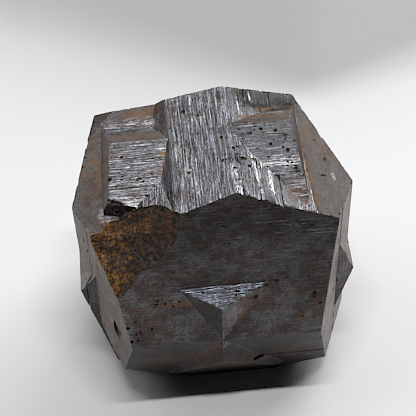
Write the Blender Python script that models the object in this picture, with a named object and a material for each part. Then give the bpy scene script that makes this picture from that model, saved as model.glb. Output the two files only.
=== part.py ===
"""Iron cross twin of pyrite: two crystals grown through each other, a quarter turn apart about the upright axis.

Each crystal is a pyritohedron, whose faces come in pairs that meet in a blunt ridge. The ridges of the
second crystal cross those of the first, so wedges of it stand out of every side of the twin.
+Z is up and -Y is the front. The origin is on the ground, under the middle of the outline.
All lengths below are in millimetres; the finished mesh is scaled to metres.
"""

import random

import bmesh
import bpy
from mathutils import Matrix, Vector, noise

MM = 0.001
BLANK_SIZE = 160.0
BLANK_CENTRE = (0.0, 0.0, 25.0)
CUT_TOLERANCE = 0.0001
WELD_DISTANCE = 0.01

# A face is written as the side that it looks to, where it crosses that side's axis, and its slopes
SIDES = {
    "left": ("x", -1.0),
    "right": ("x", 1.0),
    "front": ("y", -1.0),
    "back": ("y", 1.0),
    "under": ("z", -1.0),
    "top": ("z", 1.0),
}

# First crystal: ridges along Y on top and below, along X in front and behind, upright at the sides
FIRST_TOP_LEFT = ("top", 51.26, {"x": 0.305, "y": 0.020})
FIRST_TOP_RIGHT = ("top", 53.90, {"x": -0.402, "y": 0.010})
FIRST_RIGHT_SHOULDER = ("top", 52.80, {"x": -0.327, "y": -0.008})
FIRST_FRONT_UPPER = ("front", -32.03, {"x": -0.001, "z": 0.382})
FIRST_FRONT_LOWER = ("front", -15.86, {"x": 0.004, "z": -0.331})
FIRST_BACK_UPPER = ("back", 29.55, {"z": -0.295})
FIRST_BACK_LOWER = ("back", 16.94, {"z": 0.310})
FIRST_LEFT_FRONT = ("left", -28.23, {"y": -0.458, "z": 0.007})
FIRST_LEFT_BACK = ("left", -23.73, {"y": 0.270, "z": -0.037})
FIRST_RIGHT_FRONT = ("right", 27.95, {"y": 0.416, "z": 0.008})
FIRST_RIGHT_BACK = ("right", 23.32, {"y": -0.427, "z": 0.017})
FIRST_UNDER_LEFT = ("under", -4.85, {"x": -0.725})
FIRST_UNDER_RIGHT = ("under", -4.86, {"x": 0.468, "y": 0.012})
FIRST_LOW_CORNER = ("left", -15.90, {"y": -0.045, "z": -0.577})

# Second crystal: upright ridges in front and behind, ridges along Y at the sides and along X below
SECOND_FRONT_LEFT = ("front", -23.35, {"x": -0.556})
SECOND_FRONT_RIGHT = ("front", -23.20, {"x": 0.481})
SECOND_FRONT_CAP = ("top", 40.92, {"y": 0.356})
SECOND_FRONT_FOOT = ("front", -15.77, {"z": -0.500})
SECOND_BACK_LEFT = ("back", 23.30, {"x": 0.520})
SECOND_BACK_RIGHT = ("back", 23.30, {"x": -0.500})
SECOND_BACK_CAP = ("top", 40.50, {"y": -0.360})
SECOND_BACK_FOOT = ("back", 15.80, {"z": 0.500})
SECOND_LEFT_UPPER = ("left", -37.39, {"z": 0.486})
SECOND_LEFT_LOWER = ("left", -20.45, {"z": -0.274})
SECOND_RIGHT_UPPER = ("right", 34.78, {"z": -0.335})
SECOND_RIGHT_LOWER = ("right", 17.83, {"z": 0.355})
SECOND_UNDER_FRONT = ("under", -3.00, {"y": -0.420})
SECOND_UNDER_BACK = ("under", -3.00, {"y": 0.420})

# The flat that the twin rests on
REST = ("under", 0.0, {})

# Left shoulder, where the first crystal stopped growing early: a broad low face and the flank above it
SHOULDER_LEFT = ("top", 46.85, {"x": 0.167, "y": 0.149})
SHOULDER_FLANK = ("top", 55.60, {"x": 0.900, "y": 0.020})

# Roofs of the second crystal on top of the twin, with their ridges along X
ROOF_BOTTOM = ("under", 36.0, {})
RIGHT_ROOF_FRONT = ("top", 51.32, {"y": 0.340})
RIGHT_ROOF_APRON = ("top", 51.00, {"y": 0.280})
RIGHT_ROOF_APRON_BACK = ("back", -3.7, {})
RIGHT_ROOF_BACK = ("top", 54.80, {"y": -0.550})
RIGHT_ROOF_END = ("right", 33.10, {"z": -0.335})
RIGHT_ROOF_ROOT = ("left", 1.0, {})
RIGHT_ROOF_SINK = 0.20
APRON_SINK = 0.02
LEFT_ROOF_FRONT = ("top", 47.90, {"y": 0.220})
LEFT_ROOF_BACK = ("top", 50.90, {"y": -0.380})
LEFT_ROOF_END = ("left", -38.80, {"z": 0.420})
LEFT_ROOF_ROOT = ("right", -5.0, {})
LEFT_ROOF_BREAK = ("front", -12.20, {"x": -0.267})

# A sloping ledge in the corner between the left roof and the flank, and the low rim in front of it
CORNER_LEDGE = ("top", 49.69, {"x": 0.314, "y": -0.094})
CORNER_LEDGE_END = ("left", -14.3, {})
CORNER_LEDGE_ROOT = ("right", -6.0, {})
CORNER_LEDGE_BACK = ("back", -3.6, {})
RIM_TOP = ("top", 58.68, {"x": 0.900})
RIM_END = ("left", -18.3, {})
RIM_ROOT = ("right", -13.0, {})
RIM_BACK = ("back", -7.9, {})

# Broken front left corner: a shallow scoop, given by its middle and the way that it faces
BREAK_MIDDLE = (-15.26, -13.70, 40.91)
BREAK_OUTWARD = (-0.422, -0.609, 0.672)
BREAK_ACROSS = (0.82, -0.57, 0.0)
BREAK_BACK = ("back", -10.28, {"x": -0.109})
BREAK_WIDTH = 28.8
BREAK_HEIGHT = 36.0
BREAK_CELL = 1.2
BREAK_REACH = 22.0
BREAK_DEPTH = 0.85
BREAK_CURVE_ACROSS = 0.017
BREAK_CURVE_UP = 0.0075
BREAK_GRAIN = 0.55
BREAK_GRAIN_SIZE = 2.6
# Lumps and hollows of the break: place across, place up, height, radius
BREAK_LUMPS = (
    (-7.6, -0.3, 1.20, 1.9),
    (-5.3, 3.2, -0.90, 2.2),
    (1.8, 9.1, -0.50, 1.6),
    (5.8, 9.7, 0.75, 2.2),
    (6.6, 3.2, -0.45, 2.5),
    (2.6, -4.2, 0.60, 2.5),
    (-3.9, -6.2, 0.50, 1.6),
)

# Growth steps: a face, how far the step lies below it, and the box of coordinates that it fills
STEP_HEADROOM = 1.5
LEFT_ROOF_STEPS = (
    (LEFT_ROOF_FRONT, 0.30, {"x": (-30.0, -8.0), "y": (-0.9, 0.3)}),
    (LEFT_ROOF_FRONT, 0.25, {"x": (-30.0, -10.0), "y": (-5.2, -4.3)}),
    (LEFT_ROOF_FRONT, 0.20, {"x": (-30.0, -8.0), "y": (2.9, 3.6)}),
    (LEFT_ROOF_BACK, 0.35, {"x": (-30.0, 0.0), "y": (8.5, 40.0)}),
    (LEFT_ROOF_BACK, 0.65, {"x": (-30.0, 0.0), "y": (10.3, 40.0)}),
)
RIGHT_ROOF_STEPS = (
    (RIGHT_ROOF_FRONT, 0.20, {"x": (6.6, 30.0), "y": (0.7, 1.5)}),
    (RIGHT_ROOF_APRON, 0.25, {"x": (12.8, 30.0), "y": (-7.9, -7.1)}),
    (RIGHT_ROOF_BACK, 0.30, {"x": (6.8, 30.0), "y": (6.4, 7.6)}),
    (RIGHT_ROOF_BACK, 0.35, {"x": (7.4, 30.0), "y": (9.2, 10.2)}),
)
TWIN_STEPS = (
    # Top of the first crystal, along its ridge
    (FIRST_TOP_LEFT, 0.30, {"x": (-6.1, -4.9), "y": (-16.0, 12.0)}),
    (FIRST_TOP_LEFT, 0.25, {"x": (-2.6, -1.8), "y": (-16.0, 22.0)}),
    (FIRST_TOP_LEFT, 0.25, {"x": (0.9, 1.6), "y": (-16.0, 22.0)}),
    (FIRST_TOP_RIGHT, 0.30, {"x": (4.6, 5.3), "y": (-16.0, -2.6)}),
    (FIRST_TOP_RIGHT, 0.30, {"x": (7.4, 8.3), "y": (-16.0, -3.2)}),
    (FIRST_TOP_RIGHT, 0.30, {"x": (11.2, 12.2), "y": (-16.0, -6.0)}),
    (FIRST_TOP_RIGHT, 0.25, {"x": (6.8, 7.7), "y": (9.8, 22.0)}),
    (FIRST_TOP_RIGHT, 0.35, {"x": (10.8, 12.6), "y": (11.2, 22.0)}),
    (SHOULDER_LEFT, 0.20, {"x": (-30.0, -20.3), "y": (-30.0, 6.1)}),
    # Front and back, along the level ridges
    (FIRST_FRONT_LOWER, 0.15, {"x": (6.0, 30.0), "z": (10.2, 11.2)}),
    (FIRST_BACK_UPPER, 0.40, {"x": (-30.0, 8.0), "z": (36.5, 38.6)}),
    (FIRST_BACK_UPPER, 0.30, {"x": (-6.0, 30.0), "z": (41.5, 42.6)}),
    (FIRST_BACK_UPPER, 0.30, {"x": (-30.0, 30.0), "z": (28.0, 29.0)}),
    (FIRST_BACK_LOWER, 0.35, {"x": (-30.0, 30.0), "z": (8.4, 9.8)}),
    # Sides, along the upright ridges
    (FIRST_LEFT_FRONT, 0.25, {"y": (-12.6, -11.6), "z": (2.0, 60.0)}),
    (FIRST_LEFT_FRONT, 0.20, {"y": (-9.4, -8.8), "z": (2.0, 60.0)}),
    (FIRST_LEFT_BACK, 0.30, {"y": (0.8, 2.0), "z": (2.0, 60.0)}),
    (FIRST_LEFT_BACK, 0.40, {"y": (8.6, 10.4), "z": (2.0, 60.0)}),
    (FIRST_RIGHT_FRONT, 0.25, {"y": (-13.2, -12.2), "z": (2.0, 60.0)}),
    (FIRST_RIGHT_FRONT, 0.20, {"y": (-5.2, -4.5), "z": (2.0, 60.0)}),
    (FIRST_RIGHT_BACK, 0.40, {"y": (5.0, 6.4), "z": (2.0, 60.0)}),
    (FIRST_RIGHT_BACK, 0.30, {"y": (11.5, 12.5), "z": (2.0, 60.0)}),
    # Underside, along the ridge of the first crystal
    (FIRST_UNDER_LEFT, 0.40, {"x": (-14.6, -13.0), "y": (-30.0, 30.0)}),
    (FIRST_UNDER_RIGHT, 0.40, {"x": (15.6, 17.2), "y": (-30.0, 30.0)}),
)

# Pits: a face, the two coordinates of the place on it, and the radii along those two
PIT_DEPTH = 0.75
PIT_ROUGHNESS = 0.16
PIT_SEED = 7
PITS = (
    (FIRST_FRONT_UPPER, -11.8, 32.1, 0.45, 0.45),
    (FIRST_FRONT_UPPER, -16.3, 28.1, 0.40, 0.45),
    (FIRST_FRONT_UPPER, -17.8, 27.0, 0.50, 0.45),
    (FIRST_FRONT_UPPER, -15.5, 25.8, 0.50, 0.40),
    (FIRST_FRONT_UPPER, -17.3, 24.1, 0.40, 0.50),
    (FIRST_FRONT_UPPER, 17.4, 30.8, 0.60, 0.80),
    (FIRST_FRONT_UPPER, 18.4, 28.9, 0.40, 0.40),
    (FIRST_FRONT_UPPER, 14.9, 26.4, 0.50, 0.35),
    (FIRST_FRONT_UPPER, 17.1, 44.6, 0.45, 0.35),
    (FIRST_FRONT_UPPER, 21.4, 44.3, 0.70, 0.90),
    (FIRST_FRONT_LOWER, -12.6, 21.6, 0.45, 0.40),
    (FIRST_FRONT_LOWER, 7.5, 16.4, 0.40, 0.40),
    (FIRST_FRONT_UPPER, -7.8, 31.6, 0.40, 0.35),
    (FIRST_FRONT_UPPER, 6.4, 31.2, 0.50, 0.45),
    (FIRST_FRONT_UPPER, 10.3, 34.2, 0.60, 0.35),
    (FIRST_LEFT_FRONT, -7.4, 36.5, 0.40, 0.60),
    (FIRST_LEFT_FRONT, -8.3, 34.4, 0.35, 0.45),
    (FIRST_LEFT_FRONT, -17.0, 21.4, 0.85, 1.90),
    (FIRST_LEFT_FRONT, -16.3, 13.4, 0.45, 0.70),
    (FIRST_TOP_LEFT, -4.0, 10.4, 0.55, 0.45),
    (FIRST_TOP_LEFT, -1.4, 8.4, 0.45, 0.50),
    (FIRST_TOP_LEFT, -0.2, 14.6, 0.45, 0.45),
    (FIRST_TOP_LEFT, 2.4, 1.5, 0.40, 0.45),
    (FIRST_TOP_LEFT, -4.2, -4.6, 0.40, 0.45),
    (FIRST_TOP_RIGHT, 4.3, -1.4, 0.45, 0.45),
    (FIRST_TOP_RIGHT, 5.9, -3.6, 0.75, 0.55),
    (FIRST_TOP_RIGHT, 6.9, -5.2, 0.45, 0.45),
    (FIRST_TOP_RIGHT, 4.2, -6.3, 0.40, 0.40),
    (RIGHT_ROOF_FRONT, 9.8, 2.6, 0.45, 0.40),
    (RIGHT_ROOF_FRONT, 12.5, 2.1, 0.40, 0.35),
    (RIGHT_ROOF_FRONT, 15.8, -0.2, 0.50, 0.40),
    (RIGHT_ROOF_FRONT, 11.3, -0.4, 0.40, 0.40),
    (RIGHT_ROOF_FRONT, 14.3, -1.8, 0.40, 0.45),
    (RIGHT_ROOF_FRONT, 15.4, -5.4, 0.45, 0.40),
    (LEFT_ROOF_FRONT, -18.7, -2.4, 0.60, 0.45),
    (LEFT_ROOF_FRONT, -13.6, -3.0, 0.45, 0.35),
    (LEFT_ROOF_FRONT, -12.1, -6.3, 0.45, 0.35),
    (LEFT_ROOF_FRONT, -16.2, 2.0, 0.40, 0.35),
    (CORNER_LEDGE, -10.9, -7.6, 0.45, 0.45),
    (LEFT_ROOF_BREAK, -17.8, 44.4, 1.20, 1.50),
    (LEFT_ROOF_BREAK, -15.6, 45.0, 0.90, 1.10),
)

# Further pits strewn over the sides that face away: a face, the two ranges of places, and how many
STREWN_RADII = (0.35, 0.75)
STREWN_GAP = 2.4
STREWN_TRIES = 40
STREWN_PITS = (
    (FIRST_BACK_UPPER, (-17.0, -11.0), (26.0, 42.0), 4),
    (FIRST_BACK_UPPER, (10.0, 17.0), (26.0, 42.0), 4),
    (FIRST_BACK_UPPER, (-6.0, 6.0), (39.5, 44.0), 2),
    (FIRST_BACK_LOWER, (-15.0, -5.0), (6.0, 18.0), 3),
    (FIRST_BACK_LOWER, (6.0, 15.0), (6.0, 18.0), 3),
    (FIRST_LEFT_BACK, (3.0, 14.0), (34.0, 42.0), 3),
    (FIRST_RIGHT_BACK, (2.0, 14.0), (34.0, 42.0), 4),
    (FIRST_RIGHT_FRONT, (-15.5, -12.0), (12.0, 34.0), 3),
    (SECOND_LEFT_LOWER, (-4.0, 4.0), (12.0, 20.0), 2),
    (SECOND_RIGHT_UPPER, (-2.0, 4.0), (27.0, 30.0), 1),
    (FIRST_RIGHT_SHOULDER, (19.5, 22.0), (-8.0, 8.0), 3),
)

# Small broken corners low at the back: the middle of each break and the way that it faces
CHIPS = (
    ((-19.3, 13.9, 8.6), (-0.60, 0.50, -0.62)),
    ((19.5, 14.4, 8.2), (0.52, 0.66, -0.54)),
)

# Weathered pyrite: dark brown-grey metal under a thin rusty skin
PYRITE_COLOUR = (0.24, 0.21, 0.19, 1.0)
PYRITE_METALLIC = 0.7
PYRITE_ROUGHNESS = 0.45


def within(face, sink=0.0):
    """Point and outward normal of the plane that keeps what lies inside a face, sunk by a distance."""
    side, level, slopes = face
    coordinate, sign = SIDES[side]
    place = "xyz".index(coordinate)
    point = Vector((0.0, 0.0, 0.0))
    point[place] = level - sign * sink
    normal = Vector([-slopes.get(name, 0.0) for name in "xyz"])
    normal[place] = 1.0
    return point, normal * sign


def beyond(face, sink=0.0):
    """Point and outward normal of the plane that keeps what lies outside a face, sunk by a distance."""
    point, normal = within(face, sink)
    return point, -normal


def box_planes(box):
    """Planes that keep what lies between two values of each named coordinate."""
    planes = []
    for coordinate, (low, high) in box.items():
        place = "xyz".index(coordinate)
        axis = Vector((0.0, 0.0, 0.0))
        axis[place] = 1.0
        planes.append((axis * low, -axis))
        planes.append((axis * high, axis))
    return planes


def place_on(face, first, second):
    """The point of a face at the two coordinates that it does not limit, in alphabetical order."""
    side, level, slopes = face
    coordinate = SIDES[side][0]
    others = [name for name in "xyz" if name != coordinate]
    values = {others[0]: first, others[1]: second}
    values[coordinate] = level + sum(slopes.get(name, 0.0) * values[name] for name in others)
    return Vector((values["x"], values["y"], values["z"]))


def trim(shape, plane):
    """Cut a shape by a plane, drop what is on the outer side, and close the cut."""
    point, normal = plane
    whole = shape.verts[:] + shape.edges[:] + shape.faces[:]
    cut = bmesh.ops.bisect_plane(
        shape, geom=whole, dist=CUT_TOLERANCE, plane_co=point, plane_no=normal, clear_outer=True
    )
    rim = [item for item in cut["geom_cut"] if isinstance(item, bmesh.types.BMEdge)]
    if rim:
        bmesh.ops.contextual_create(shape, geom=rim)


def cut_block(planes):
    """A convex solid cut from a large cube, keeping what is on the inner side of every plane."""
    shape = bmesh.new()
    bmesh.ops.create_cube(shape, size=BLANK_SIZE, matrix=Matrix.Translation(BLANK_CENTRE))
    for plane in planes:
        trim(shape, plane)
    bmesh.ops.recalc_face_normals(shape, faces=shape.faces)
    return shape


def crystal_sides():
    """The first crystal's faces in front, behind, beside and below, with its top left open."""
    return cut_block(
        [
            within(FIRST_FRONT_UPPER),
            within(FIRST_FRONT_LOWER),
            within(FIRST_BACK_UPPER),
            within(FIRST_BACK_LOWER),
            within(FIRST_LEFT_FRONT),
            within(FIRST_LEFT_BACK),
            within(FIRST_RIGHT_FRONT),
            within(FIRST_RIGHT_BACK),
            within(FIRST_UNDER_LEFT),
            within(FIRST_UNDER_RIGHT),
            within(FIRST_LOW_CORNER),
        ]
    )


def right_top_waste():
    """The space over the right half of the top, which is a little higher at its shoulder."""
    return cut_block([beyond(FIRST_TOP_RIGHT), beyond(FIRST_RIGHT_SHOULDER)])


def left_top_waste():
    """The space over the left shoulder, down to its low face and out from the flank."""
    return cut_block([beyond(SHOULDER_LEFT), beyond(SHOULDER_FLANK)])


def right_roof():
    """The second crystal's roof on the right half of the top."""
    return cut_block(
        [
            within(RIGHT_ROOF_FRONT),
            within(RIGHT_ROOF_BACK),
            within(RIGHT_ROOF_END),
            within(RIGHT_ROOF_ROOT),
            within(FIRST_TOP_LEFT, RIGHT_ROOF_SINK),
            within(ROOF_BOTTOM),
        ]
    )


def right_roof_apron():
    """The flatter lower part of that roof, which runs out to the front edge."""
    return cut_block(
        [
            within(RIGHT_ROOF_APRON),
            within(RIGHT_ROOF_APRON_BACK),
            within(RIGHT_ROOF_END, APRON_SINK),
            within(RIGHT_ROOF_ROOT, APRON_SINK),
            within(ROOF_BOTTOM, APRON_SINK),
        ]
    )


def left_roof():
    """The second crystal's roof on the left shoulder, broken off in front."""
    return cut_block(
        [
            within(LEFT_ROOF_FRONT),
            within(LEFT_ROOF_BACK),
            within(LEFT_ROOF_END),
            within(LEFT_ROOF_ROOT),
            within(LEFT_ROOF_BREAK),
            within(ROOF_BOTTOM),
        ]
    )


def corner_ledge():
    """The sloping ledge between the left roof and the flank."""
    return cut_block(
        [
            within(CORNER_LEDGE),
            within(CORNER_LEDGE_END),
            within(CORNER_LEDGE_ROOT),
            within(CORNER_LEDGE_BACK),
            within(ROOF_BOTTOM),
        ]
    )


def break_rim():
    """The rim that climbs from the left shoulder to the corner ledge along the broken face."""
    return cut_block(
        [
            within(RIM_TOP),
            within(RIM_END),
            within(RIM_ROOT),
            within(RIM_BACK),
            within(ROOF_BOTTOM),
        ]
    )


def second_crystal():
    """The second crystal up to the caps in front and behind; its roofs on top are separate blocks."""
    return cut_block(
        [
            within(SECOND_FRONT_LEFT),
            within(SECOND_FRONT_RIGHT),
            within(SECOND_FRONT_CAP),
            within(SECOND_FRONT_FOOT),
            within(SECOND_BACK_LEFT),
            within(SECOND_BACK_RIGHT),
            within(SECOND_BACK_CAP),
            within(SECOND_BACK_FOOT),
            within(SECOND_LEFT_UPPER),
            within(SECOND_LEFT_LOWER),
            within(SECOND_RIGHT_UPPER),
            within(SECOND_RIGHT_LOWER),
            within(SECOND_UNDER_FRONT),
            within(SECOND_UNDER_BACK),
        ]
    )


def rest_waste():
    """The space under the flat that the twin rests on."""
    return cut_block([beyond(REST)])


def step_waste(face, depth, box):
    """The slab that a growth step leaves empty."""
    return cut_block([beyond(face, depth), within(face, -STEP_HEADROOM)] + box_planes(box))


def chip_waste(middle, outward):
    """Everything outside the flat break of a chipped corner."""
    return cut_block([(Vector(middle), -Vector(outward))])


def break_waste():
    """Everything outside the broken face: a rough scooped sheet, drawn out into a thick block."""
    shape = bmesh.new()
    bmesh.ops.create_grid(
        shape,
        x_segments=round(BREAK_WIDTH / BREAK_CELL),
        y_segments=round(BREAK_HEIGHT / BREAK_CELL),
        size=1.0,
        matrix=Matrix.Diagonal((BREAK_WIDTH / 2.0, BREAK_HEIGHT / 2.0, 1.0, 1.0)),
    )
    for vertex in shape.verts:
        across, up, _ = vertex.co
        height = BREAK_CURVE_ACROSS * across**2 + BREAK_CURVE_UP * up**2 - BREAK_DEPTH
        for lump_across, lump_up, lump_height, radius in BREAK_LUMPS:
            distance = ((across - lump_across) ** 2 + (up - lump_up) ** 2) / radius**2
            height += lump_height / (1.0 + distance**2)
        grain = noise.noise(Vector((across, up, 0.0)) / BREAK_GRAIN_SIZE)
        vertex.co = (across, up, height + BREAK_GRAIN * grain)
    drawn = bmesh.ops.extrude_face_region(shape, geom=shape.faces[:], use_keep_orig=True)
    for item in drawn["geom"]:
        if isinstance(item, bmesh.types.BMVert):
            item.co.z = BREAK_REACH
    outward = Vector(BREAK_OUTWARD).normalized()
    across = Vector(BREAK_ACROSS)
    across = (across - outward * across.dot(outward)).normalized()
    up = outward.cross(across)
    turn = Matrix((across, up, outward)).transposed().to_4x4()
    bmesh.ops.transform(shape, matrix=Matrix.Translation(BREAK_MIDDLE) @ turn, verts=shape.verts)
    trim(shape, within(BREAK_BACK))
    bmesh.ops.recalc_face_normals(shape, faces=shape.faces)
    return shape


def dig_pit(shape, face, first, second, first_radius, second_radius, dice):
    """Add one rough pebble, half sunk in a face, to the shape that digs the pits."""
    middle = place_on(face, first, second)
    outward = within(face)[1].normalized()
    across = (place_on(face, first + 1.0, second) - middle).normalized()
    along = outward.cross(across)
    depth = PIT_DEPTH * min(first_radius, second_radius)
    turn = Matrix((across, along, outward)).transposed().to_4x4()
    size = Matrix.Diagonal((first_radius, second_radius, depth, 1.0))
    made = bmesh.ops.create_icosphere(shape, subdivisions=1, radius=1.0)
    for vertex in made["verts"]:
        vertex.co *= 1.0 + dice.uniform(-PIT_ROUGHNESS, PIT_ROUGHNESS)
    bmesh.ops.transform(shape, matrix=Matrix.Translation(middle) @ turn @ size, verts=made["verts"])


def strew_pits(shape, face, first_range, second_range, count, dice):
    """Dig a number of pits at random places of a face that keep a gap between them."""
    places = []
    for _ in range(STREWN_TRIES):
        first = dice.uniform(*first_range)
        second = dice.uniform(*second_range)
        clear = all((first - a) ** 2 + (second - b) ** 2 > STREWN_GAP**2 for a, b in places)
        if clear and len(places) < count:
            places.append((first, second))
    for first, second in places:
        dig_pit(shape, face, first, second, dice.uniform(*STREWN_RADII), dice.uniform(*STREWN_RADII), dice)


def pit_waste():
    """All the pits as one set of separate pebbles."""
    dice = random.Random(PIT_SEED)
    shape = bmesh.new()
    for face, first, second, first_radius, second_radius in PITS:
        dig_pit(shape, face, first, second, first_radius, second_radius, dice)
    for face, first_range, second_range, count in STREWN_PITS:
        strew_pits(shape, face, first_range, second_range, count, dice)
    return shape


def new_collection(name):
    """A collection under the scene's own."""
    collection = bpy.data.collections.new(name)
    bpy.context.scene.collection.children.link(collection)
    return collection


def add_object(name, shape, collection):
    """Turn a shape in millimetres into an object in metres."""
    bmesh.ops.scale(shape, vec=(MM, MM, MM), verts=shape.verts)
    mesh = bpy.data.meshes.new(name)
    shape.to_mesh(mesh)
    shape.free()
    solid = bpy.data.objects.new(name, mesh)
    collection.objects.link(solid)
    return solid


def hidden_tool(name, shape, tools):
    """Make an object that only takes part in Booleans."""
    tool = add_object(name, shape, tools)
    tool.display_type = "WIRE"
    tool.hide_render = True
    return tool


def boolean(solid, operation, name, tool):
    """Join a tool to a solid, cut it out of the solid, or keep what both hold, by a live Boolean."""
    modifier = solid.modifiers.new(name, "BOOLEAN")
    modifier.operation = operation
    modifier.solver = "EXACT"
    modifier.object = tool


def combine(solid, operation, name, shape, collection):
    """Make a hidden tool of a shape and use it on a solid."""
    boolean(solid, operation, name, hidden_tool(name, shape, collection))


def weld(solid, name):
    """Merge the points that a cut left closer together than the weld distance."""
    modifier = solid.modifiers.new(name, "WELD")
    modifier.merge_threshold = WELD_DISTANCE * MM


def pyrite_material():
    """Weathered pyrite."""
    material = bpy.data.materials.new("weathered_pyrite")
    material.use_nodes = True
    shader = material.node_tree.nodes["Principled BSDF"]
    shader.inputs["Base Color"].default_value = PYRITE_COLOUR
    shader.inputs["Metallic"].default_value = PYRITE_METALLIC
    shader.inputs["Roughness"].default_value = PYRITE_ROUGHNESS
    material.diffuse_color = PYRITE_COLOUR
    return material


def carve_steps(solid, name, steps, tools):
    """Cut a list of growth steps into a solid."""
    for number, (face, depth, box) in enumerate(steps):
        combine(solid, "DIFFERENCE", f"{name}_{number}", step_waste(face, depth, box), tools)


def roofscape(tools):
    """Everything under the top of the twin, far out to the sides: the roofs, shoulders and ledges."""
    left = hidden_tool("left_roof", left_roof(), tools)
    carve_steps(left, "left_roof_step", LEFT_ROOF_STEPS, tools)
    right = hidden_tool("right_roof", right_roof(), tools)
    combine(right, "UNION", "right_roof_apron", right_roof_apron(), tools)
    carve_steps(right, "right_roof_step", RIGHT_ROOF_STEPS, tools)

    top = hidden_tool("roofscape", cut_block([within(FIRST_TOP_LEFT)]), tools)
    combine(top, "DIFFERENCE", "right_top_waste", right_top_waste(), tools)
    combine(top, "DIFFERENCE", "left_top_waste", left_top_waste(), tools)
    boolean(top, "UNION", "right_roof", right)
    boolean(top, "UNION", "left_roof", left)
    combine(top, "UNION", "corner_ledge", corner_ledge(), tools)
    combine(top, "UNION", "break_rim", break_rim(), tools)
    return top


def build():
    """Grow the twin, then carve its steps, chips, break and pits."""
    for leftover in list(bpy.data.objects):
        bpy.data.objects.remove(leftover)
    parts = new_collection("iron_cross_twin")
    tools = new_collection("cutters")

    twin = add_object("iron_cross_twin", crystal_sides(), parts)
    twin.data.materials.append(pyrite_material())
    boolean(twin, "INTERSECT", "roofscape", roofscape(tools))
    combine(twin, "UNION", "second_crystal", second_crystal(), tools)
    combine(twin, "DIFFERENCE", "rest_waste", rest_waste(), tools)
    carve_steps(twin, "twin_step", TWIN_STEPS, tools)
    for number, (middle, outward) in enumerate(CHIPS):
        combine(twin, "DIFFERENCE", f"chip_{number}", chip_waste(middle, outward), tools)
    combine(twin, "DIFFERENCE", "break_waste", break_waste(), tools)
    weld(twin, "weld_steps")
    combine(twin, "DIFFERENCE", "pit_waste", pit_waste(), tools)
    weld(twin, "weld_pits")


build()
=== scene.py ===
import math

import bmesh
import bpy
import numpy as np
from mathutils import Matrix, Vector, noise


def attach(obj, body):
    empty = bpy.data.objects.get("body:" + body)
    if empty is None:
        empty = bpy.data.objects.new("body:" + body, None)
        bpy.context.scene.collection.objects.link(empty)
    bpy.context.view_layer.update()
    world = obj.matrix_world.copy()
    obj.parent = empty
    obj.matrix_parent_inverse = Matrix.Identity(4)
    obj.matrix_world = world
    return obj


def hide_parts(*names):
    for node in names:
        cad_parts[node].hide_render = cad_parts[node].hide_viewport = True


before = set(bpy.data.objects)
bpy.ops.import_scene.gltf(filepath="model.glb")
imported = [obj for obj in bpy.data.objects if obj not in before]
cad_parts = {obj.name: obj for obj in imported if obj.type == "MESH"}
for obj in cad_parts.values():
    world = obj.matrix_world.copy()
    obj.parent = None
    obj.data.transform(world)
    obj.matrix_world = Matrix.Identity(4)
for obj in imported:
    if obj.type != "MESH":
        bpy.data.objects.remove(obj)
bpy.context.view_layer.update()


# The view: a long lens on a stand, looking down on the specimen from the front at about fifty degrees.
CAMERA_PLACE = (-0.01095, -0.17187, 0.24317)
CAMERA_LOOK = (0.03804, 0.63405, -0.77235)
CAMERA_UP = (0.08621, 0.76795, 0.63468)
CAMERA_LENS = 121.7
SENSOR_WIDTH = 36.0
NEAREST_SEEN = 0.01

back = -Vector(CAMERA_LOOK).normalized()
right = Vector(CAMERA_UP).cross(back).normalized()
turn = Matrix((right, back.cross(right), back)).transposed().to_4x4()
camera_data = bpy.data.cameras.new("camera")
camera_data.lens = CAMERA_LENS
camera_data.sensor_width = SENSOR_WIDTH
camera_data.clip_start = NEAREST_SEEN
camera = bpy.data.objects.new("camera", camera_data)
camera.matrix_world = Matrix.Translation(CAMERA_PLACE) @ turn
bpy.context.scene.collection.objects.link(camera)
bpy.context.scene.camera = camera

# The camera sharpens its pictures a little
SHARPENING = 0.06

bpy.context.scene.use_nodes = True
picture = bpy.context.scene.node_tree
picture.nodes.clear()
taken = picture.nodes.new("CompositorNodeRLayers")
sharpen = picture.nodes.new("CompositorNodeFilter")
sharpen.filter_type = "SHARPEN"
sharpen.inputs["Fac"].default_value = SHARPENING
kept = picture.nodes.new("CompositorNodeComposite")
picture.links.new(taken.outputs["Image"], sharpen.inputs["Image"])
picture.links.new(sharpen.outputs["Image"], kept.inputs["Image"])


# The studio: a sheet of matt white card that lies flat under the specimen and is lifted up behind it,
# so that it folds up along two lines that meet in a corner on the right. A long thin lamp hangs above
# the specimen, and soft boxes stand behind it and on its left. Nearly no light comes from the front.
SHEET_CELLS = 100
SHEET_HALF_WIDTH = 0.6
SHEET_FRONT_LENGTH = 0.45
SHEET_BACK_LENGTH = 0.05
# The two folds: the corner where they meet, how they slope away from it on the left and on the right and
# how far, how round the corner is, the radius of the bend there, and how much wider it grows further off
FOLD_CORNER = (0.0303, 0.0605)
FOLD_SLOPES = (0.60, 0.35)
FOLD_REACH = 0.13
FOLD_ROUNDING = 0.004
FOLD_RADIUS = 0.009
FOLD_SOFTENING = 0.20
SHEET_TURN = math.radians(50.0)
SHEET_COLOUR = (0.80, 0.80, 0.81, 1.0)
SHEET_ROUGHNESS = 0.9
SHEET_SHINE = 0.1
SURROUNDINGS = (0.010, 0.010, 0.011, 1.0)
# Each lamp: its name, its place, the point that it faces, its width and height, and its watts
SOFT_BOXES = (
    ("long_lamp", (0.030, -0.088, 0.62), (0.030, -0.087, 0.0), 0.30, 0.020, 1.85),
    ("behind", (0.0, 0.70, 0.55), (0.0, 0.0, 0.03), 0.60, 0.46, 2.0),
    ("behind_right", (0.48, 0.52, 0.51), (0.0, 0.0, 0.03), 0.60, 0.46, 5.3),
    ("left", (-0.50, 0.20, 0.75), (0.0, 0.0, 0.03), 0.60, 0.46, 1.6),
)

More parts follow.
